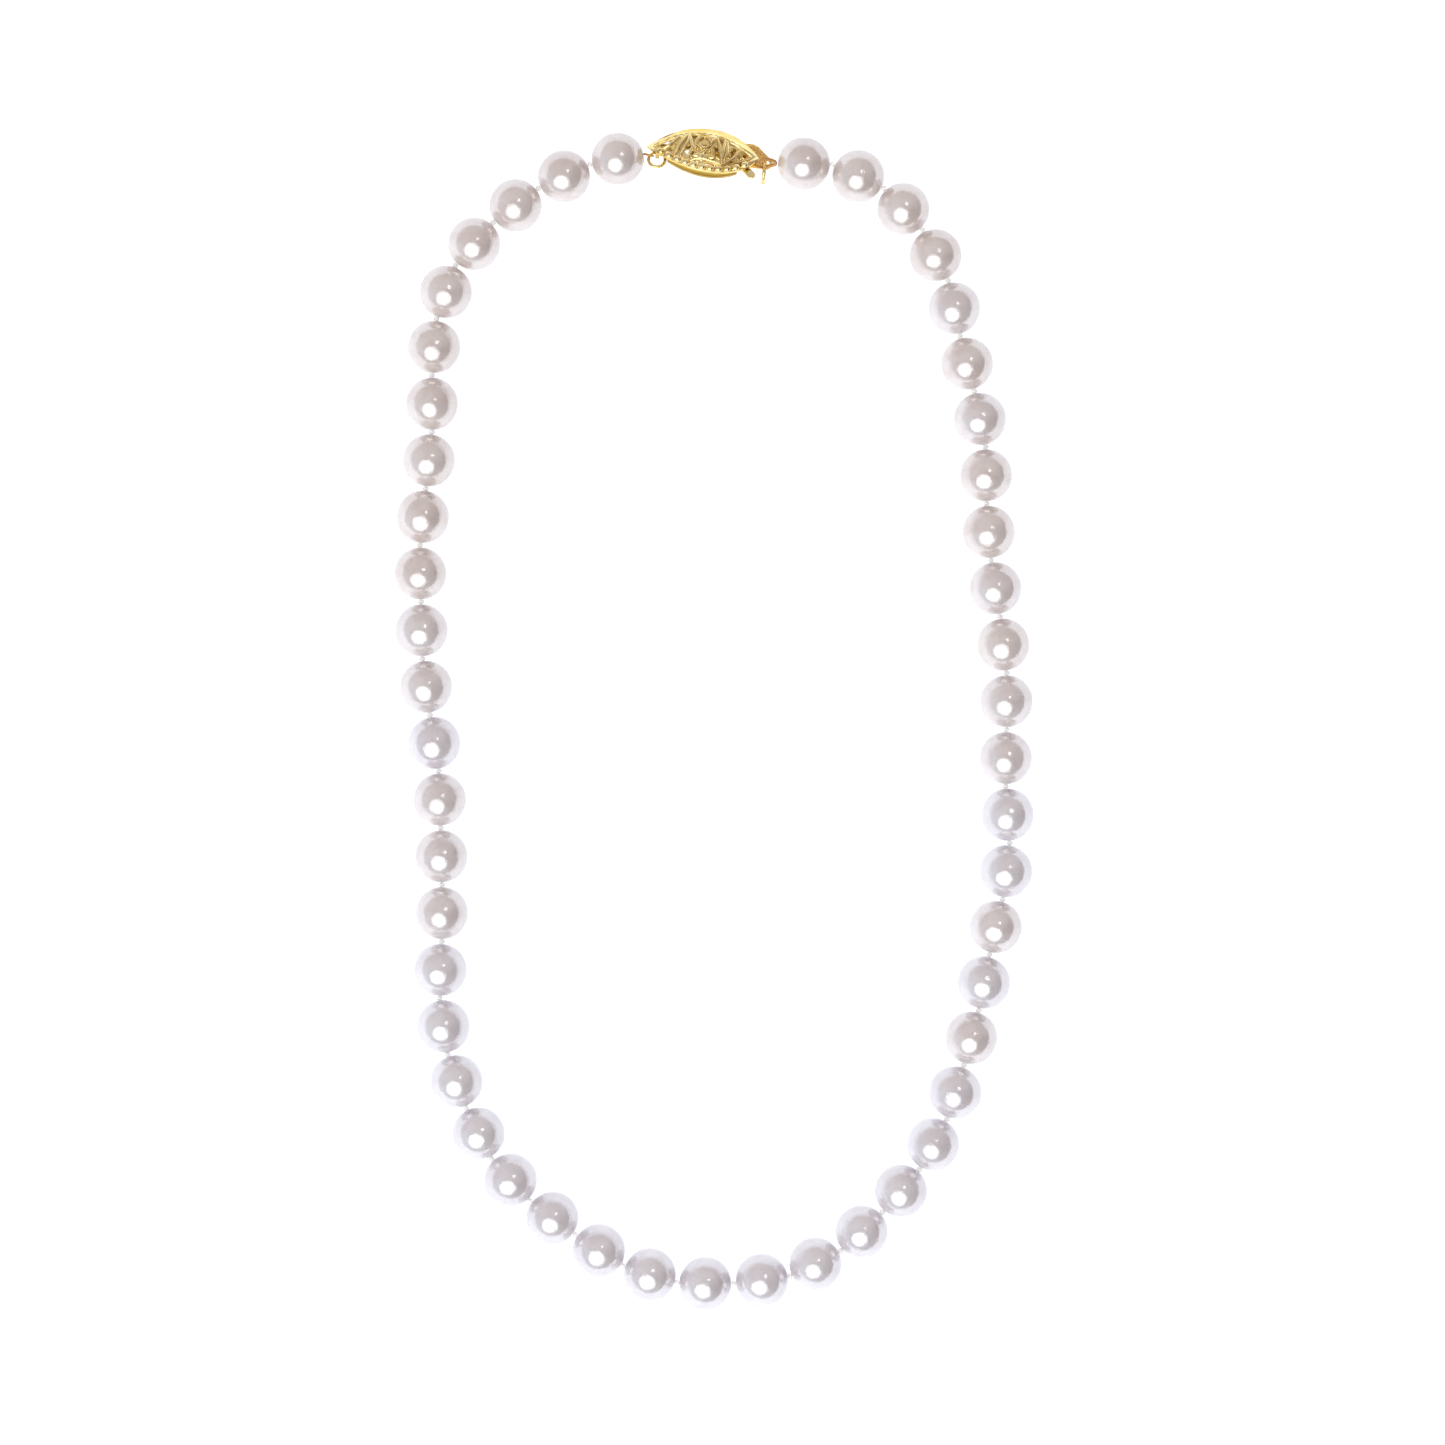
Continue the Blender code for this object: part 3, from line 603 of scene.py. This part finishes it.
filigree = {
    "thick": 0.32, "edgeWire": 0.10, "strutWire": 0.23, "sink": 0.14, "flangeFall": 0.42,
    "dashes": 13, "firstDash": -5.6, "dashStep": 0.92, "dash": (0.52, 0.13, 0.22),
    "beads": 11, "firstBead": -6.6, "beadStep": 1.33, "beadInset": 0.5, "bead": (0.67, 0.56, 0.48, 1),
    "window": (7.75, 2.25, 3.15, -0.12),  # half length, rise, fall and shift of the recess
    "openings": [
        [(-6.8, -0.05), (-5.8, 0.7), (-4.7, 1.2), (-4.9, 0.6), (-5.5, 0.0), (-6.2, -0.35)],
        [(-5.7, -0.75), (-5.0, -0.1), (-4.5, 0.6), (-4.4, -0.4), (-4.9, -1.2)],
        [(-4.3, -0.9), (-3.9, 0.3), (-3.3, 1.35), (-2.75, 1.65), (-2.95, 0.7), (-3.4, -0.5), (-3.9, -1.5)],
        [(-2.1, 1.75), (-1.05, 1.95), (-1.5, 0.8)],
        [(-0.85, 0.55), (-0.45, 1.05), (0.05, 1.35), (0.6, 0.9), (0.85, 0.45), (0.4, -0.05), (-0.3, -0.05)],
        [(1.25, 1.95), (1.75, 1.85), (1.5, 1.0)],
        [(2.15, 0.75), (2.2, 1.75), (3.0, 1.45), (2.75, 0.1)],
        [(3.9, 1.35), (4.9, 0.95), (4.2, 0.3), (3.95, -0.5)],
        [(3.95, -1.2), (4.3, 0.0), (4.85, 0.55), (5.2, 0.4), (5.0, -0.4), (4.4, -1.3)],
        [(6.2, -0.6), (6.25, 0.35), (6.8, 0.3), (7.05, -0.1), (6.7, -0.75)],
        [(-2.65, 0.1), (-2.2, 0.75), (-1.85, -0.3), (-2.15, -1.7), (-2.9, -1.2)],
        [(-1.75, -0.9), (-1.25, -1.2), (-1.5, -2.1), (-1.95, -1.8)],
        [(1.5, -0.2), (2.1, 0.2), (2.65, -0.7), (2.75, -1.8), (1.9, -1.4)],
        [(-0.9, -2.0), (0.3, -2.15), (1.5, -2.2), (0.4, -2.55)],
        [(-4.9, -1.55), (-4.2, -1.75), (-3.9, -2.35), (-4.6, -2.0)],
        [(-3.3, -2.2), (-2.5, -2.25), (-2.2, -2.85), (-3.1, -2.65)],
        [(-1.8, -2.6), (-0.6, -2.75), (-0.5, -3.1), (-1.6, -3.05)],
        [(0.1, -2.85), (1.6, -2.8), (1.7, -3.1), (0.2, -3.15)],
        [(3.6, -2.35), (4.3, -1.95), (4.9, -1.4), (4.9, -1.8), (4.2, -2.45)],
        [(5.6, -0.4), (5.75, -0.2), (5.9, -0.9), (5.5, -1.1)],
    ],
    "struts": [
        [(-4.3, -1.7), (-3.75, -0.2), (-2.85, 1.45), (-2.55, 1.95)],
        [(-3.5, -1.9), (-3.0, -0.66), (-2.5, 0.6), (-2.4, 1.9)],
        [(-2.35, 1.95), (-1.75, -0.06), (-1.05, -1.3)],
        [(-1.8, -0.4), (-2.15, -2.3)],
        [(-0.78, 1.9), (-1.12, 0.87), (-1.24, 0.15)],
        [(1.1, 0.46), (1.45, 1.23), (1.9, 2.05)],
        [(3.3, 1.75), (3.15, 0.13), (3.0, -1.41), (3.1, -2.6)],
        [(3.75, 1.3), (3.72, -0.6), (3.45, -1.8)],
        [(3.3, -2.6), (4.3, -1.75), (5.15, -0.77), (5.9, 0.75)],
        [(-1.6, -2.5), (-0.36, -2.1), (1.25, -2.3), (2.8, -2.55)],
        [(-6.3, -0.7), (-5.4, -0.1), (-4.6, 0.75), (-3.9, 1.5)],
        [(1.9, 2.0), (2.6, -0.1), (2.85, -1.3)],
    ],
    "diamond": [(-1.2, 0.3), (-0.72, 1.2), (0.0, 1.65), (0.75, 1.15), (1.2, 0.4), (0.65, -0.2), (-0.05, -0.5),
                (-0.72, -0.25)],
    "grains": [(-1.2, -0.35, 0.2), (-0.85, -0.75, 0.24), (-0.3, -0.95, 0.2), (0.55, -0.6, 0.2), (1.0, -0.85, 0.24),
               (1.35, -0.45, 0.2), (-0.6, -1.4, 0.18), (0.1, -1.35, 0.26), (0.75, -1.45, 0.2), (1.3, -1.4, 0.2),
               (-2.35, 1.95, 0.2), (1.9, 2.0, 0.2), (3.1, -2.5, 0.22), (5.85, 0.7, 0.18), (6.0, -1.0, 0.2),
               (5.6, -1.5, 0.2), (-4.4, -1.7, 0.2), (-3.4, -2.0, 0.22), (0.0, 1.75, 0.16), (3.55, 1.6, 0.18)],
    "petals": [(-0.9, -1.7, 200, 0.75), (-0.2, -1.75, 245, 0.6), (0.6, -1.85, 290, 0.62), (1.35, -1.75, 340, 0.75),
               (0.15, -0.95, 92, 0.5)],
}


def over(points, above=0.0):
    return [Vector((point[0], point[1], frontTop(point[0], point[1]) + above)) for point in points]


def slope(u, v):
    # the upper flange falls away from the window to its outer edge
    half, rise, _, shift = filigree["window"]
    spread = (half**2 + rise**2) / (2 * rise)
    inner = shift + math.sqrt(max(spread**2 - u * u, 0)) - (spread - rise)
    beyond = max(v - max(inner, 0) - 0.12, 0)
    return filigree["flangeFall"] * beyond * min(1, beyond / 0.3)


def makeFront():
    half, rise, fall, shift = filigree["window"]
    layout = claspLayout
    low = layout["seam"]
    high = layout["seam"] + layout["frontThick"]
    parts = []

    # the plain rim, bevelled and arched over the case
    rim = lens(layout["half"], layout["halfWidth"], layout["halfWidth"], low, high, steps=96)
    for vert in rim.data.vertices:
        vert.co.x += layout["lean"] * (1 - (vert.co.x / layout["half"]) ** 2)
    combine(rim, lens(half, rise, fall, low - 1, high + 1, shift, steps=96), "DIFFERENCE")
    for k in range(filigree["dashes"]):  # stamped along the upper inner edge
        u = filigree["firstDash"] + filigree["dashStep"] * k
        spread = (half**2 + rise**2) / (2 * rise)
        v = shift + math.sqrt(spread**2 - u * u) - (spread - rise) + 0.30
        bpy.ops.mesh.primitive_cube_add(size=1, location=(u, v, high), rotation=(0, 0, -math.asin(u / spread)))
        dash = bpy.context.object
        dash.scale = filigree["dash"]
        applyTransform(dash)
        combine(rim, dash, "DIFFERENCE")
    softened(rim, 0.09, 2, 50)
    lift(rim, lambda u, v: frontTop(u, v) - layout["seam"] - layout["frontThick"] - slope(u, v))
    parts.append(rim)

    # the pierced sheet, sunk a little below the rim
    bpy.ops.mesh.primitive_grid_add(x_subdivisions=150, y_subdivisions=64, size=1)
    sheet = bpy.context.object
    sheet.scale = (16.4, 6.6, 1)
    sheet.location = (0, -0.5, high - filigree["sink"] - filigree["thick"])
    applyTransform(sheet)
    modify(sheet, "SOLIDIFY", thickness=filigree["thick"], offset=1)
    combine(sheet, lens(half + 0.15, rise + 0.15, fall + 0.15, low - 2, high + 2, shift), "INTERSECT")
    outlines = [smoothLine(opening, 5, closed=True) for opening in filigree["openings"]]
    for outline in outlines:
        combine(sheet, plate([(point.x, point.y) for point in outline], low - 2, high + 2), "DIFFERENCE")
    lift(sheet, lambda u, v: frontTop(u, v) - layout["seam"] - layout["frontThick"])
    parts.append(sheet)

    edges = [over(outline, -filigree["sink"]) for outline in outlines]
    edges.append(over(smoothLine(filigree["diamond"], 5, closed=True), 0.02))
    parts.append(wires(edges, filigree["edgeWire"], closed=True))
    inner = [point.co.copy() for point in lens(half, rise, fall, 0, 1, shift).data.vertices if point.co.z < 0.5]
    bpy.data.objects.remove(bpy.context.object, do_unlink=True)
    parts.append(wires([over(inner, -0.08)], 0.12, closed=True))
    struts = []
    for strut in filigree["struts"]:
        line = over(smoothLine(strut, 8), -0.06)
        count = len(line) - 1
        struts.append([(*point, 0.8 + 0.45 * math.sin(math.pi * k / count)) for k, point in enumerate(line)])
    parts.append(wires(struts, filigree["strutWire"], sides=3))

    for u, v, radius in filigree["grains"]:
        bpy.ops.mesh.primitive_ico_sphere_add(subdivisions=2, radius=radius, location=(u, v, frontTop(u, v) - 0.04))
        parts.append(applyTransform(bpy.context.object))
    for u, v, angle, length in filigree["petals"]:
        bpy.ops.mesh.primitive_uv_sphere_add(segments=16, ring_count=10, radius=1, location=(0, 0, 0))
        petal = bpy.context.object
        for vert in petal.data.vertices:  # pointed at its far end
            vert.co.y *= 0.42 * (1 - 0.55 * max(vert.co.x, 0))
            vert.co.z *= 0.3
            vert.co.x *= length
        petal.data.transform(Matrix.Translation((u, v, frontTop(u, v) - 0.02))
                             @ Matrix.Rotation(math.radians(angle), 4, "Z"))
        parts.append(petal)

    # the row of raised beads along the lower rim
    for k in range(filigree["beads"]):
        u = filigree["firstBead"] + filigree["beadStep"] * k
        v = -(arcHalf(u) - filigree["beadInset"])
        bpy.ops.mesh.primitive_uv_sphere_add(segments=16, ring_count=10, radius=1)
        bead = bpy.context.object
        turn = math.asin((u - layout["lean"]) / layout["bulge"])
        bead.data.transform(Matrix.Translation((u, v, frontTop(u, v) + 0.02)) @ Matrix.Rotation(turn, 4, "Z")
                            @ Matrix.Diagonal(filigree["bead"]))
        parts.append(bead)
    front = joined(parts)
    finishPiece(front, "filigreeFront", "left_strand", stampedGold, ["clasp_front"], placeClasp, 45)


makeFront()
print("clasp front pierced and beaded")


caseDetails = {
    "lug": [(-7.4, -0.8), (-6.8, -0.8), (-6.8, 0.4), (-5.3, 0.4), (-5.3, 0.9), (-7.4, 0.9)],
    "lugAt": (7.1, -0.2, 1.5), "lugHole": 0.475,  # distance from the middle, then place of its hole
    "barAt": 4.9, "barHeight": 2.85, "barRadius": 0.3, "barLength": 4.5, "barEnd": 5.2, "barPlay": 0.05,
}


def makeCase():
    layout = claspLayout
    details = caseDetails
    inset = layout["flange"]
    closed, mouth = layout["closedEnd"], layout["mouth"]
    low = layout["backThick"] + layout["seam"]

    def band(extra, first, last, steps=64):
        us = [first + (last - first) * k / steps for k in range(steps + 1)]
        return [(u, -arcHalf(u, inset + extra)) for u in us] + [(u, arcHalf(u, inset + extra)) for u in us[::-1]]

    def shell(extra, first, last, deep, high):  # wider at its top by the taper
        solid = plate(band(extra + layout["taper"], first, last), deep, high)
        top = band(extra, first, last)
        for vert, (u, v) in zip([vert for vert in solid.data.vertices if vert.co.z > 1.5], top):
            vert.co = (u, v, rimHeight(u) - 0.4 + (high - 2.0))
        return solid

    wall = shell(0, closed, mouth, low, 2.0)
    hollow = shell(layout["wall"], closed + layout["wall"], mouth + 0.3, low, 2.0)
    for vert in hollow.data.vertices:
        vert.co.z += 1.0 if vert.co.z > 1.5 else -0.5
    combine(wall, hollow, "DIFFERENCE")
    softened(wall, 0.05, 2, 50)
    away, v, w = details["lugAt"]
    lug = plate(details["lug"], low + 0.1, rimHeight(away) - 0.15)
    bpy.ops.mesh.primitive_cylinder_add(vertices=32, radius=details["lugHole"], depth=2, location=(-away, v, w),
                                        rotation=(0, math.pi / 2, 0))
    combine(lug, applyTransform(bpy.context.object), "DIFFERENCE")
    softened(lug, 0.07, 2, 50)
    case = joined([wall, lug])
    finishPiece(case, "claspCase", "left_strand", shadedWallGold, ["clasp_case"], placeClasp)

    back = plate(band(layout["taper"], closed, mouth), 0, layout["backThick"])
    first, last = closed + layout["backRim"] + layout["wall"], mouth - layout["backRim"]
    wide = (last - first - 2 * layout["backBar"]) / 3
    for k in range(3):
        start = first + k * (wide + layout["backBar"])
        window = plate(band(layout["taper"] + layout["backRim"], start, start + wide, 24), -1, 1)
        softened(window, 0.25, 3, 60)
        combine(back, window, "DIFFERENCE")
    softened(back, 0.08, 2, 50)
    finishPiece(back, "claspBack", "left_strand", shadedWallGold, ["clasp_back"], placeClasp)

    bpy.ops.mesh.primitive_cylinder_add(vertices=32, radius=details["barRadius"], depth=details["barLength"],
                                        location=(details["barAt"], 0, details["barHeight"]),
                                        rotation=(math.pi / 2, 0, 0))
    bar = softened(applyTransform(bpy.context.object), 0.06, 2, 50)
    for vert in bar.data.vertices:
        reach = arcHalf(details["barEnd"], inset + layout["wall"]) - details["barPlay"]
        vert.co.y *= reach / (details["barLength"] / 2)
    finishPiece(bar, "claspCrossbar", "left_strand", polishedGold, ["clasp_crossbar"], placeClasp)


makeCase()
print("clasp case, back and crossbar made")


rings = {  # wire radius, ring radius and axis
    "end_ring": (0.25, 1.3, "w"), "hook_ring": (0.3, 1.65, "u"),
}


def makeRings():
    for name, node, centre in (("threadRing", "end_ring", claspLayout["endRing"]),
                               ("hookRing", "hook_ring", claspLayout["hookRing"])):
        wire, radius, axis = rings[node]
        turn = (0, math.pi / 2, 0) if axis == "u" else (0, 0, 0)
        bpy.ops.mesh.primitive_torus_add(major_segments=72, minor_segments=16, major_radius=radius,
                                         minor_radius=wire, location=centre, rotation=turn)
        ring = applyTransform(bpy.context.object)
        bpy.ops.mesh.primitive_torus_add(major_segments=24, minor_segments=8, major_radius=wire * 0.86,
                                         minor_radius=wire * 0.2)
        seam = bpy.context.object  # the soldered join
        if axis == "w":
            seam.data.transform(Matrix.Translation((centre[0] + radius * 0.5, centre[1] - radius * 0.866, centre[2]))
                                @ Matrix.Rotation(math.radians(-60), 4, "Z") @ Matrix.Rotation(math.pi / 2, 4, "X"))
        else:
            seam.data.transform(Matrix.Translation((centre[0], centre[1] - radius, centre[2])))
        finishPiece(joined([ring, seam]), name, node, polishedGold, [node], placeClasp)


tongue = {
    "eye": (9.85, 0.3), "eyeRim": 1.15, "eyeHole": 0.675,
    "out": 5.85, "low": 0.95, "thick": 0.4, "half": 0.7,  # where it widens, its underside, thickness, half width
    "grains": [(6.4, 2.6), (7.2, 2.9), (8.0, 2.8), (8.7, 2.35), (9.2, 1.75), (6.4, 1.7), (7.2, 2.0), (8.0, 1.9),
               (8.6, 1.45), (7.3, 1.1), (8.1, 1.0), (6.5, 0.9)],
    "leafStart": -0.95, "leafHalf": 0.65, "leafThick": 0.3, "tabRadius": 0.625, "tabFrom": (6.0, -0.95),
    "tabTo": (7.9, -2.75),
}


def makeTongue():
    eyeU, eyeV = tongue["eye"]
    out, low, thick, half = tongue["out"], tongue["low"], tongue["thick"], tongue["half"]
    reach = tongue["eyeRim"]
    eye = [(eyeU + reach * math.cos(math.radians(t)), eyeV + reach * math.sin(math.radians(t)))
           for t in range(-105, 46, 10)]
    outline = [(-1.4, -half + 0.2), (-0.6, -half), (out + 1.2, -half), *eye, (9.3, 2.3), (8.6, 3.0), (7.7, 3.4),
               (6.7, 3.4), (out, 3.0), (out, half), (-0.6, half), (-1.4, half - 0.2)]
    blade = plate(outline, low, low + thick)
    bpy.ops.mesh.primitive_cylinder_add(vertices=32, radius=tongue["eyeHole"], depth=4, location=(eyeU, eyeV, low))
    combine(blade, bpy.context.object, "DIFFERENCE")
    softened(blade, 0.1, 2, 50)
    fold = plate([(-1.4, -half + 0.2), (-1.05, -half + 0.15), (-1.05, half - 0.15), (-1.4, half - 0.2)],
                 low + 0.1, low + thick + 0.75)
    softened(fold, 0.08, 3, 50)
    parts = [blade, fold]
    for u, v in tongue["grains"]:
        bpy.ops.mesh.primitive_ico_sphere_add(subdivisions=2, radius=0.3, location=(u, v, low + thick - 0.12))
        parts.append(applyTransform(bpy.context.object))
    finishPiece(joined(parts), "hookPlate", "right_strand", oldGold, ["hook_plate"], placeClasp)

    top, mouth, barHeight = low + thick, claspLayout["mouth"], caseDetails["barHeight"]
    under = barHeight - caseDetails["barRadius"] - 0.12
    catch = caseDetails["barAt"] - caseDetails["barRadius"] - 0.05
    start, wide, leafThick = tongue["leafStart"], tongue["leafHalf"], tongue["leafThick"]
    line = [(start, top + 0.75), (start + 1.5, top + 0.95), (catch - 1.5, top + 1.1), (catch - 0.6, barHeight),
            (catch - 0.12, barHeight), (catch, under), (mouth + 0.3, under), (mouth + 1.1, under - 0.02)]
    bpy.ops.mesh.primitive_grid_add(x_subdivisions=len(line) - 1, y_subdivisions=1, size=1)
    leaf = bpy.context.object
    for vert in leaf.data.vertices:
        k = round((vert.co.x + 0.5) * (len(line) - 1))
        vert.co = (line[k][0], wide * (1 if vert.co.y > 0 else -1), line[k][1])
    modify(leaf, "SOLIDIFY", thickness=leafThick, offset=-1)
    softened(leaf, 0.05, 2, 50)
    a, b = Vector(tongue["tabFrom"]), Vector(tongue["tabTo"])
    along = (b - a).normalized()
    across = Vector((-along.y, along.x))
    radius = tongue["tabRadius"]
    outline = [a + radius * across, a - radius * across]
    outline += [b + radius * (math.cos(math.radians(t)) * along + math.sin(math.radians(t)) * across)
                for t in range(-90, 91, 10)]
    tab = plate([(point.x, point.y) for point in outline], under - leafThick - 0.05, under + 0.05)
    softened(tab, 0.12, 3, 50)
    finishPiece(joined([leaf, tab]), "springLeaf", "thumb_leaf", polishedGold, ["hook_spring"], placeClasp)


makeRings()
makeTongue()
print("rings and tongue made")


def loopPath(apex, link, tangent, wire, dia):
    # from the pearl's hole round the ring's wire and back
    reach = apex - link
    length = reach.length
    d = reach.normalized()
    n = (tangent - tangent.dot(d) * d).normalized()
    side = n.cross(d)
    near = wire / 2 + dia / 2 + 0.07 * mm
    far = 0.62 * dia
    tip = max(length - dia / 2, near + far)
    path = [link + near * (math.cos(t) * d + math.sin(t) * side)
            for t in (math.radians(-90 - 15 * k) for k in range(13))]
    path += [link + (tip - far + far * math.cos(t)) * d + far * math.sin(t) * side
             for t in (math.radians(90 - 30 * k) for k in range(7))]
    return path


def coilAlong(path, radius, pitch, wire):
    line = smoothLine(path, 6, closed=True)
    lengths = [0.0]
    for a, b in zip(line, line[1:] + line[:1]):
        lengths.append(lengths[-1] + (b - a).length)
    total, around = lengths[-1], 10
    turns = round(total / pitch)
    coil, k = [], 0
    for step in range(turns * around):
        at = total * step / (turns * around)
        while lengths[k + 1] < at:
            k += 1
        one, two = line[k], line[(k + 1) % len(line)]
        point = one + (two - one) * ((at - lengths[k]) / (lengths[k + 1] - lengths[k]))
        along = (two - one).normalized()
        middle = sum(path, Vector()) / len(path)
        normal = (path[3] - middle).cross(path[0] - middle).normalized()
        outward = normal.cross(along).normalized()
        angle = math.tau * step / around
        coil.append(point + radius * (math.cos(angle) * outward + math.sin(angle) * normal))
    return wires([coil], wire, closed=True, sides=1)


frenchWire = {"left": 0.36, "right": 0.6, "wire": 0.055, "pitch": 0.12, "leftTurn": 0.5, "rightTurn": 52}


def makeFrenchWire():
    # knots stand half a gap outside a pearl, and the hole's rim a little inside it
    rimBack = pearlShape["radius"] + 0.3 - math.sqrt(pearlShape["radius"]**2 - pearlShape["hole"]**2)
    ringCentre, ringRadius = Vector(claspLayout["endRing"]), rings["end_ring"][1]
    side = frenchWire["leftTurn"]
    leftLink = placeClasp @ (ringCentre + ringRadius * Vector((-math.cos(side), math.sin(side), 0)))
    leftTangent = turnClasp @ Vector((math.sin(side), math.cos(side), 0))
    hookCentre, hookRadius = Vector(claspLayout["hookRing"]), rings["hook_ring"][1]
    up = math.radians(frenchWire["rightTurn"])
    rightLink = placeClasp @ (hookCentre + hookRadius * Vector((0, math.cos(up), math.sin(up))))
    rightTangent = turnClasp @ Vector((0, -math.sin(up), math.cos(up)))
    first, last = (knots[1] - knots[0]).normalized(), (knots[49] - knots[48]).normalized()
    leftApex = knots[0] + first * (rimBack - 0.06) * mm
    rightApex = knots[49] - last * (rimBack - 0.06) * mm
    for name, apex, link, tangent, ringWire, dia, body, node in (
            ("coilLeft", leftApex, leftLink, leftTangent, rings["end_ring"][0] * 2, frenchWire["left"],
             "left_strand", "french_wire_left"),
            ("coilRight", rightApex, rightLink, rightTangent, rings["hook_ring"][0] * 2, frenchWire["right"],
             "right_strand", "french_wire_right")):
        path = loopPath(apex, link, tangent, ringWire * mm, dia * mm)
        fine = frenchWire["wire"]
        coil = coilAlong(path, (dia / 2 - fine) * mm, frenchWire["pitch"] * mm, fine * mm)
        finishPiece(coil, name, body, coilGold, [node], angle=80)


makeFrenchWire()
print("French wire coiled")
